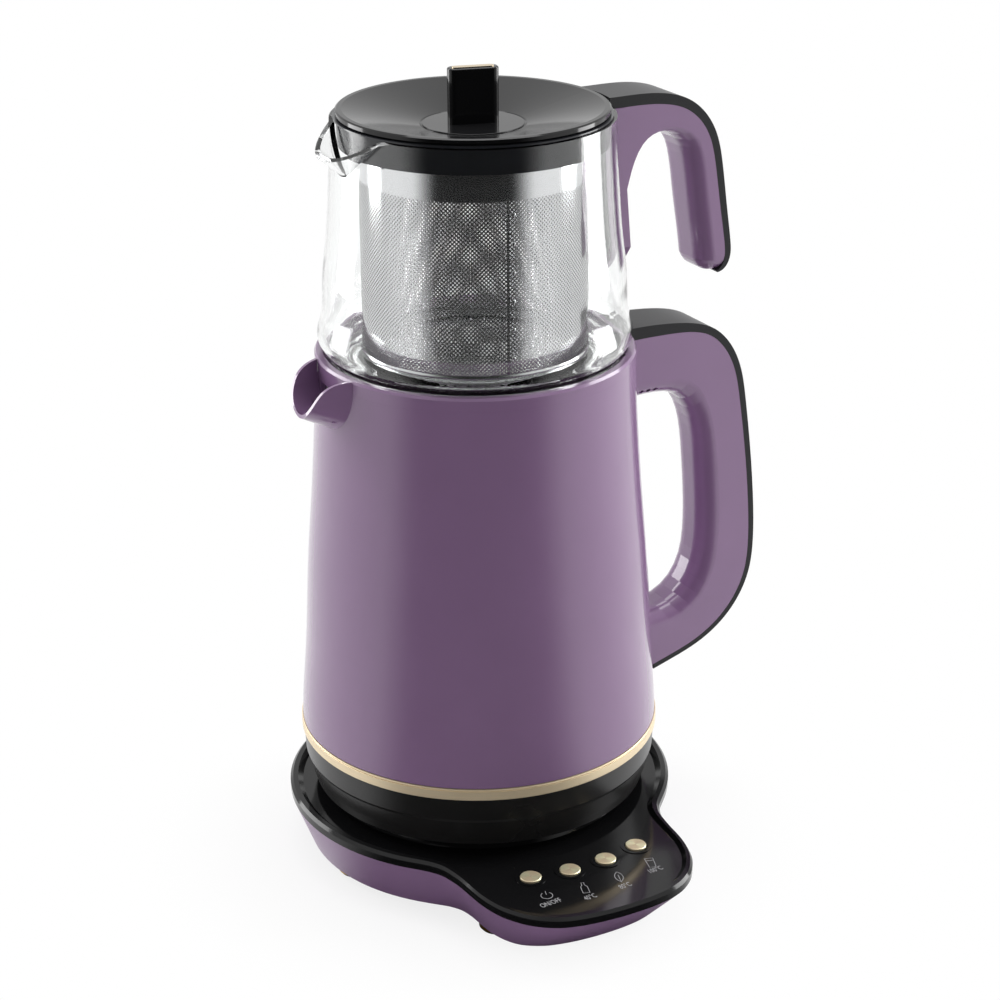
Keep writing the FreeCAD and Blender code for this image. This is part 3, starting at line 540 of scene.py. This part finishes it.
def turned(name, profile):
    """Closed steel ring of the basket, turned about Z from points of radius and height."""
    form = bmesh.new()
    turns = [2 * math.pi * k / RING_STEPS for k in range(RING_STEPS)]
    rings = [[form.verts.new((radius * math.cos(turn), radius * math.sin(turn), height)) for turn in turns]
             for radius, height in profile]
    for a, b in zip(rings, rings[1:] + rings[:1]):
        for k in range(RING_STEPS):
            n = (k + 1) % RING_STEPS
            form.faces.new((a[k], a[n], b[n], b[k]))
    outward(form)
    keep(name, settled(form, name), "polished_steel", "basket")


def rolled_seam(radius, bottom, top):
    """Edge of the rolled sheet's overlap, as a thin bar."""
    form = bmesh.new()
    half = SEAM_HALF / radius
    inner, outer = radius - SEAM_SUNK, radius + SEAM_PROUD
    corners = [(rim, SEAM_ANGLE + side)
               for rim, side in ((inner, -half), (outer, -half), (outer, half), (inner, half))]
    first, last = ([form.verts.new((rim * math.sin(angle), -rim * math.cos(angle), height))
                    for rim, angle in corners] for height in (bottom, top))
    form.faces.new(first)
    form.faces.new(last)
    for k in range(4):
        n = (k + 1) % 4
        form.faces.new((first[k], first[n], last[n], last[k]))
    outward(form)
    keep("basket_seam", settled(form, "basket_seam"), "polished_steel", "basket", smooth=False)


def weld_spots(radius, bottom, top):
    """Row of flat weld spots beside the seam."""
    form = bmesh.new()
    angle = SEAM_ANGLE + WELD_SHIFT / radius
    shape = Matrix.Rotation(angle, 4, "Z") @ Matrix.Diagonal(WELD_SIZE)
    for k in range(int((top - bottom) / WELD_PITCH)):
        place = Matrix.Translation((radius * math.sin(angle), -radius * math.cos(angle),
                                    bottom + (k + WELD_START) * WELD_PITCH))
        bmesh.ops.create_uvsphere(form, u_segments=16, v_segments=10, radius=1.0, matrix=place @ shape)
    keep("basket_welds", settled(form, "basket_welds"), "polished_steel", "basket")


class TEAMAKER_OT_basket(bpy.types.Operator):
    """Strainer basket with its holes, plain bands and welded seam"""
    bl_idname = "teamaker.basket"
    bl_label = "Strainer Basket"

    def execute(self, context):
        tea = settings()
        tree = perforation_tree()
        outer = BASKET_RADIUS
        inner = outer - BASKET_WALL
        columns = round(2 * math.pi * outer / tea.hole_pitch)
        pitch = 2 * math.pi * outer / columns
        rows = int((HOLES_TOP - HOLES_BOTTOM) / pitch)
        values = {"Columns": columns, "Pitch": pitch, "Hole Radius": pitch * tea.hole_share / 2,
                  "Tube Radius": outer, "Wall": BASKET_WALL, "Material": named_material("polished_steel")}
        start = 0
        for index in range(BASKET_PARTS):
            count = (rows - start) // (BASKET_PARTS - index)
            name = "basket_mesh_%d" % (index + 1)
            sheet = grown(name, tree, dict(values, Rows=count, Bottom=HOLES_BOTTOM + start * pitch))
            mesh = keep(name, sheet, "polished_steel", "basket")
            start += count
        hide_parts("basket_tube")
        top = HOLES_BOTTOM + rows * pitch
        flange_low = FLANGE_TOP - BASKET_WALL
        turned("basket_band", [(inner, top), (outer, top), (outer, flange_low), (FLANGE_RADIUS, flange_low),
                               (FLANGE_RADIUS, FLANGE_TOP), (inner, FLANGE_TOP)])
        foot = [(inner, BASKET_BOTTOM), (outer, BASKET_BOTTOM), (outer, BASKET_BOTTOM + BEAD_FOOT)]
        for step in range(1, BEAD_STEPS):
            turn = math.pi * step / BEAD_STEPS
            foot.append((outer + BEAD_SWELL * math.sin(turn),
                         BASKET_BOTTOM + BEAD_MIDDLE - BEAD_HALF * math.cos(turn)))
        foot += [(outer, HOLES_BOTTOM), (inner, HOLES_BOTTOM)]
        turned("basket_foot", foot)
        rolled_seam(outer, HOLES_BOTTOM, top)
        weld_spots(outer, HOLES_BOTTOM, top)
        return {"FINISHED"}


# Marks on the panel, in millimetres

def arc(cx, cy, radius, first, last, steps=14):
    """Points of an arc, angles in degrees from +X."""
    spread = [math.radians(first + (last - first) * k / steps) for k in range(steps + 1)]
    return [(cx + radius * math.cos(a), cy + radius * math.sin(a)) for a in spread]


# Small signs about their own middle: power, bottle, leaf and drinking glass
SIGNS = (
    (arc(0, -0.3, 2.6, 125, 415), [(0, 0.4), (0, 3.4)]),
    ([(-1.5, -4.2), (-1.5, 0.8), (-0.6, 2.2), (-0.6, 4.2), (0.6, 4.2), (0.6, 2.2), (1.5, 0.8), (1.5, -4.2),
      (-1.5, -4.2)],),
    (arc(-3.6, 0.0, 5.4, -48, 48), arc(3.6, 0.0, 5.4, 132, 228), [(0, -4.6), (0, 1.6)]),
    ([(-1.9, 3.7), (-1.5, -3.7), (1.5, -3.7), (1.9, 3.7), (-1.9, 3.7)], [(-1.8, 1.8), (1.8, 1.8)]),
)
SIGN_PLACES = ((-26.9, -111.4), (-9.6, -114.2), (8.2, -113.8), (26.6, -110.6))
SIGN_LEAN = math.radians(-17.0)
LABELS = ("ON/OFF", "40\u00b0C", "80\u00b0C", "100\u00b0C")
LABEL_PLACES = ((-28.4, -117.7), (-11.2, -121.9), (6.8, -121.4), (25.2, -116.6))
LABEL_TURN = math.radians(3.0)
LABEL_SIZE = 4.6
LABEL_SQUEEZE = 0.62
LABEL_CURVE_STEPS = 3
MARK_WIDTH = 0.28
MARK_THICK = 0.06


def stroke(form, points, height):
    """One unbroken flat stroke with square ends, as a closed thin bar."""
    last = len(points) - 1
    rails = []
    for index, (x, y) in enumerate(points):
        ahead = Vector(points[min(index + 1, last)])
        behind = Vector(points[max(index - 1, 0)])
        along = (ahead - behind).normalized()
        side = Vector((-along.y, along.x)) * MARK_WIDTH / 2
        rails.append([form.verts.new((x + s * side.x, y + s * side.y, height + rise))
                      for s, rise in ((-1, 0.0), (1, 0.0), (1, MARK_THICK), (-1, MARK_THICK))])
    for a, b in zip(rails, rails[1:]):
        for k in range(4):
            n = (k + 1) % 4
            form.faces.new((a[k], a[n], b[n], b[k]))
    form.faces.new(rails[0])
    form.faces.new(rails[-1])


def label_mesh(text, x, y):
    """One label as a thin closed mesh on the panel."""
    curve = bpy.data.curves.new("label", "FONT")
    curve.body = text
    curve.size = LABEL_SIZE * MM
    curve.align_x = "CENTER"
    curve.align_y = "CENTER"
    curve.extrude = MARK_THICK * MM / 2
    curve.resolution_u = LABEL_CURVE_STEPS
    letters = bpy.data.objects.new("label", curve)
    bpy.context.scene.collection.objects.link(letters)
    graph = bpy.context.evaluated_depsgraph_get()
    mesh = bpy.data.meshes.new_from_object(letters.evaluated_get(graph))
    bpy.data.objects.remove(letters)
    place = Matrix.Translation((x * MM, y * MM, PANEL_Z + MARK_THICK * MM / 2))
    squeeze = Matrix.Diagonal((LABEL_SQUEEZE, 1.0, 1.0, 1.0))
    mesh.transform(place @ Matrix.Rotation(LABEL_TURN, 4, "Z") @ squeeze)
    form = bmesh.new()
    form.from_mesh(mesh)
    bmesh.ops.remove_doubles(form, verts=form.verts, dist=0.001 * MM)
    outward(form)
    return settled(form, "label")


class TEAMAKER_OT_marks(bpy.types.Operator):
    """Thin signs and labels on the button panel"""
    bl_idname = "teamaker.marks"
    bl_label = "Panel Marks"

    def execute(self, context):
        form = bmesh.new()
        c, d = math.cos(SIGN_LEAN), math.sin(SIGN_LEAN)
        for strokes, (cx, cy) in zip(SIGNS, SIGN_PLACES):
            for points in strokes:
                leaning = [(cx + x * c - y * d, cy + x * d + y * c) for x, y in points]
                stroke(form, leaning, PANEL_Z / MM)
        outward(form)
        bmesh.ops.scale(form, vec=(MM, MM, MM), verts=form.verts)
        keep("panel_signs", settled(form, "panel_signs"), "panel_print", "base", smooth=False)
        for index, (text, (x, y)) in enumerate(zip(LABELS, LABEL_PLACES)):
            keep("panel_label_%d" % (index + 1), label_mesh(text, x, y), "panel_print", "base", smooth=False)
        return {"FINISHED"}


# Stage, in metres

FLOOR_REACH = 6.0
FLOOR_DROP = 0.2 * MM
FLOOR_TONE = (0.8, 0.8, 0.8, 1.0)

# The soft shadow fades out between these distances from the middle
SHADOW_REACH = (0.06, 0.17)
SHADOW_LEAST = 0.8

# The dark card on the camera's side: where it begins and is full, as the cosine from that side, and its level
CARD_EDGE = 0.45
CARD_FULL = 0.82
CARD_LEVEL = 0.02
WORLD_LIGHT = 0.42

# Each soft box: its place as the camera looks (right, beyond, up), its size and its watts
SOFT_BOXES = (
    ("left_box", (-0.95, 0.4, 0.5), (0.45, 1.3), 9.6),
    ("right_box", (1.05, 0.3, 0.55), (0.5, 1.3), 14.0),
    ("top_box", (0.0, 0.1, 1.3), (0.9, 0.9), 9.0),
)
LIGHT_AIM = Vector((0.0, 0.0, 0.2))

CAMERA_TURN = math.radians(28.0)
CAMERA_DISTANCE = 1.0
CAMERA_HEIGHT = 0.585
CAMERA_YAW = math.radians(0.60)
CAMERA_PITCH = math.radians(22.66)
CAMERA_ROLL = math.radians(-0.32)
CAMERA_LENS = 86.11
CAMERA_SENSOR = 36.0


def seen_from_camera(right, away, up):
    """A place told as the camera looks, in the object's own axes."""
    return Matrix.Rotation(-CAMERA_TURN, 3, "Z") @ Vector((right, away, up))


def ray_masks(tree):
    """Two masks: rays from the camera, also through glass; and rays that a mirror image sees."""
    path = tree.nodes.new("ShaderNodeLightPath").outputs
    work = partial(math_node, tree)
    unmirrored = work("LESS_THAN", path["Glossy Depth"], 0.5)
    sharp = work("LESS_THAN", path["Diffuse Depth"], 0.5)
    through = work("MULTIPLY", path["Is Transmission Ray"], work("MULTIPLY", unmirrored, sharp))
    straight = work("MAXIMUM", path["Is Camera Ray"], through)
    mirrored = work("MULTIPLY", work("SUBTRACT", 1.0, unmirrored), sharp)
    return straight, mirrored


def smooth_range(tree, value, source, target):
    """A value eased from one span to another."""
    span = tree.nodes.new("ShaderNodeMapRange")
    span.interpolation_type = "SMOOTHSTEP"
    span.inputs["From Min"].default_value, span.inputs["From Max"].default_value = source
    span.inputs["To Min"].default_value, span.inputs["To Max"].default_value = target
    tree.links.new(value, span.inputs["Value"])
    return span.outputs["Result"]


def studio_level(tree, direction):
    """Brightness round the object as a mirror image sees it: a dark card on the camera's side, else white."""
    facing = tree.nodes.new("ShaderNodeVectorMath")
    facing.operation = "DOT_PRODUCT"
    facing.inputs[1].default_value = seen_from_camera(0.0, -1.0, 0.0)
    tree.links.new(direction, facing.inputs[0])
    return smooth_range(tree, facing.outputs["Value"], (CARD_EDGE, CARD_FULL), (1.0, CARD_LEVEL))


def backdrop_material():
    """White floor that keeps a soft shadow round the object."""
    material = bpy.data.materials.new("stage_white")
    material.use_nodes = True
    tree = material.node_tree
    tree.nodes.clear()
    new = tree.nodes.new
    link = tree.links.new
    out = new("ShaderNodeOutputMaterial")
    lit = new("ShaderNodeBsdfDiffuse")
    lit.inputs["Color"].default_value = FLOOR_TONE
    glow = new("ShaderNodeEmission")
    image = new("ShaderNodeEmission")
    place = new("ShaderNodeTexCoord").outputs["Object"]
    reach = new("ShaderNodeVectorMath")
    reach.operation = "LENGTH"
    link(place, reach.inputs[0])
    away = new("ShaderNodeVectorMath")
    away.operation = "NORMALIZE"
    link(place, away.inputs[0])
    link(studio_level(tree, away.outputs["Vector"]), image.inputs["Strength"])
    fade = smooth_range(tree, reach.outputs["Value"], SHADOW_REACH, (SHADOW_LEAST, 1.0))
    straight, mirrored = ray_masks(tree)
    shown = mixed(tree, math_node(tree, "MULTIPLY", straight, fade), lit.outputs[0], glow.outputs[0])
    link(mixed(tree, mirrored, shown, image.outputs[0]), out.inputs["Surface"])
    return material


def studio_world():
    """White as the camera sees it, even as a light, and with a dark card as a mirror image sees it."""
    world = bpy.data.worlds.new("studio")
    world.use_nodes = True
    tree = world.node_tree
    tree.nodes.clear()
    new = tree.nodes.new
    link = tree.links.new
    out = new("ShaderNodeOutputWorld")
    place = new("ShaderNodeTexCoord")
    even = new("ShaderNodeBackground")
    even.inputs["Strength"].default_value = WORLD_LIGHT
    image = new("ShaderNodeBackground")
    link(studio_level(tree, place.outputs["Generated"]), image.inputs["Strength"])
    white = new("ShaderNodeBackground")
    white.inputs["Color"].default_value = WHITE
    straight, mirrored = ray_masks(tree)
    unseen = mixed(tree, mirrored, even.outputs[0], image.outputs[0])
    link(mixed(tree, straight, unseen, white.outputs[0]), out.inputs["Surface"])
    return world


def soft_box(name, place, size, power):
    """Area lamp aimed at the object."""
    data = bpy.data.lights.new(name, "AREA")
    data.shape = "RECTANGLE"
    data.size, data.size_y = size
    data.energy = power
    lamp = bpy.data.objects.new(name, data)
    bpy.context.scene.collection.objects.link(lamp)
    lamp.location = seen_from_camera(*place)
    lamp.rotation_euler = (LIGHT_AIM - lamp.location).to_track_quat("-Z", "Y").to_euler()


class TEAMAKER_OT_stage(bpy.types.Operator):
    """White floor, soft studio light and the camera"""
    bl_idname = "teamaker.stage"
    bl_label = "Stage"

    def execute(self, context):
        scene = context.scene
        mesh = bpy.data.meshes.new("floor")
        corners = [(x * FLOOR_REACH, y * FLOOR_REACH, -FLOOR_DROP)
                   for x, y in ((-1, -1), (1, -1), (1, 1), (-1, 1))]
        mesh.from_pydata(corners, [], [(0, 1, 2, 3)])
        mesh.materials.append(backdrop_material())
        floor = bpy.data.objects.new("floor", mesh)
        scene.collection.objects.link(floor)

        scene.world = studio_world()
        for box in SOFT_BOXES:
            soft_box(*box)

        data = bpy.data.cameras.new("camera")
        data.lens = CAMERA_LENS
        data.sensor_width = CAMERA_SENSOR
        camera = bpy.data.objects.new("camera", data)
        scene.collection.objects.link(camera)
        look = (Matrix.Rotation(-CAMERA_TURN - CAMERA_YAW, 3, "Z")
                @ Matrix.Rotation(math.pi / 2 - CAMERA_PITCH, 3, "X")
                @ Matrix.Rotation(CAMERA_ROLL, 3, "Z"))
        camera.rotation_euler = look.to_euler()
        camera.location = seen_from_camera(0.0, -CAMERA_DISTANCE, CAMERA_HEIGHT)
        scene.camera = camera
        scene.view_settings.view_transform = "Standard"
        return {"FINISHED"}


class TEAMAKER_PT_panel(bpy.types.Panel):
    """Sidebar panel of the tea maker"""
    bl_idname = "TEAMAKER_PT_panel"
    bl_label = "Tea Maker"
    bl_space_type = "VIEW_3D"
    bl_region_type = "UI"
    bl_category = "Tea Maker"

    def draw(self, context):
        column = self.layout.column()
        for name in TeaMakerSettings.__annotations__:
            column.prop(context.scene.tea_maker, name)
        for operator in STEPS:
            column.operator(operator.bl_idname)


STEPS = (TEAMAKER_OT_finishes, TEAMAKER_OT_basket, TEAMAKER_OT_marks, TEAMAKER_OT_stage)
CLASSES = (TeaMakerSettings,) + STEPS + (TEAMAKER_PT_panel,)


def register():
    for item in CLASSES:
        bpy.utils.register_class(item)
    bpy.types.Scene.tea_maker = bpy.props.PointerProperty(type=TeaMakerSettings)


def unregister():
    del bpy.types.Scene.tea_maker
    for item in reversed(CLASSES):
        bpy.utils.unregister_class(item)


def main():
    register()
    for operator in STEPS:
        group, name = operator.bl_idname.split(".")
        getattr(getattr(bpy.ops, group), name)()


if __name__ == "__main__":
    main()
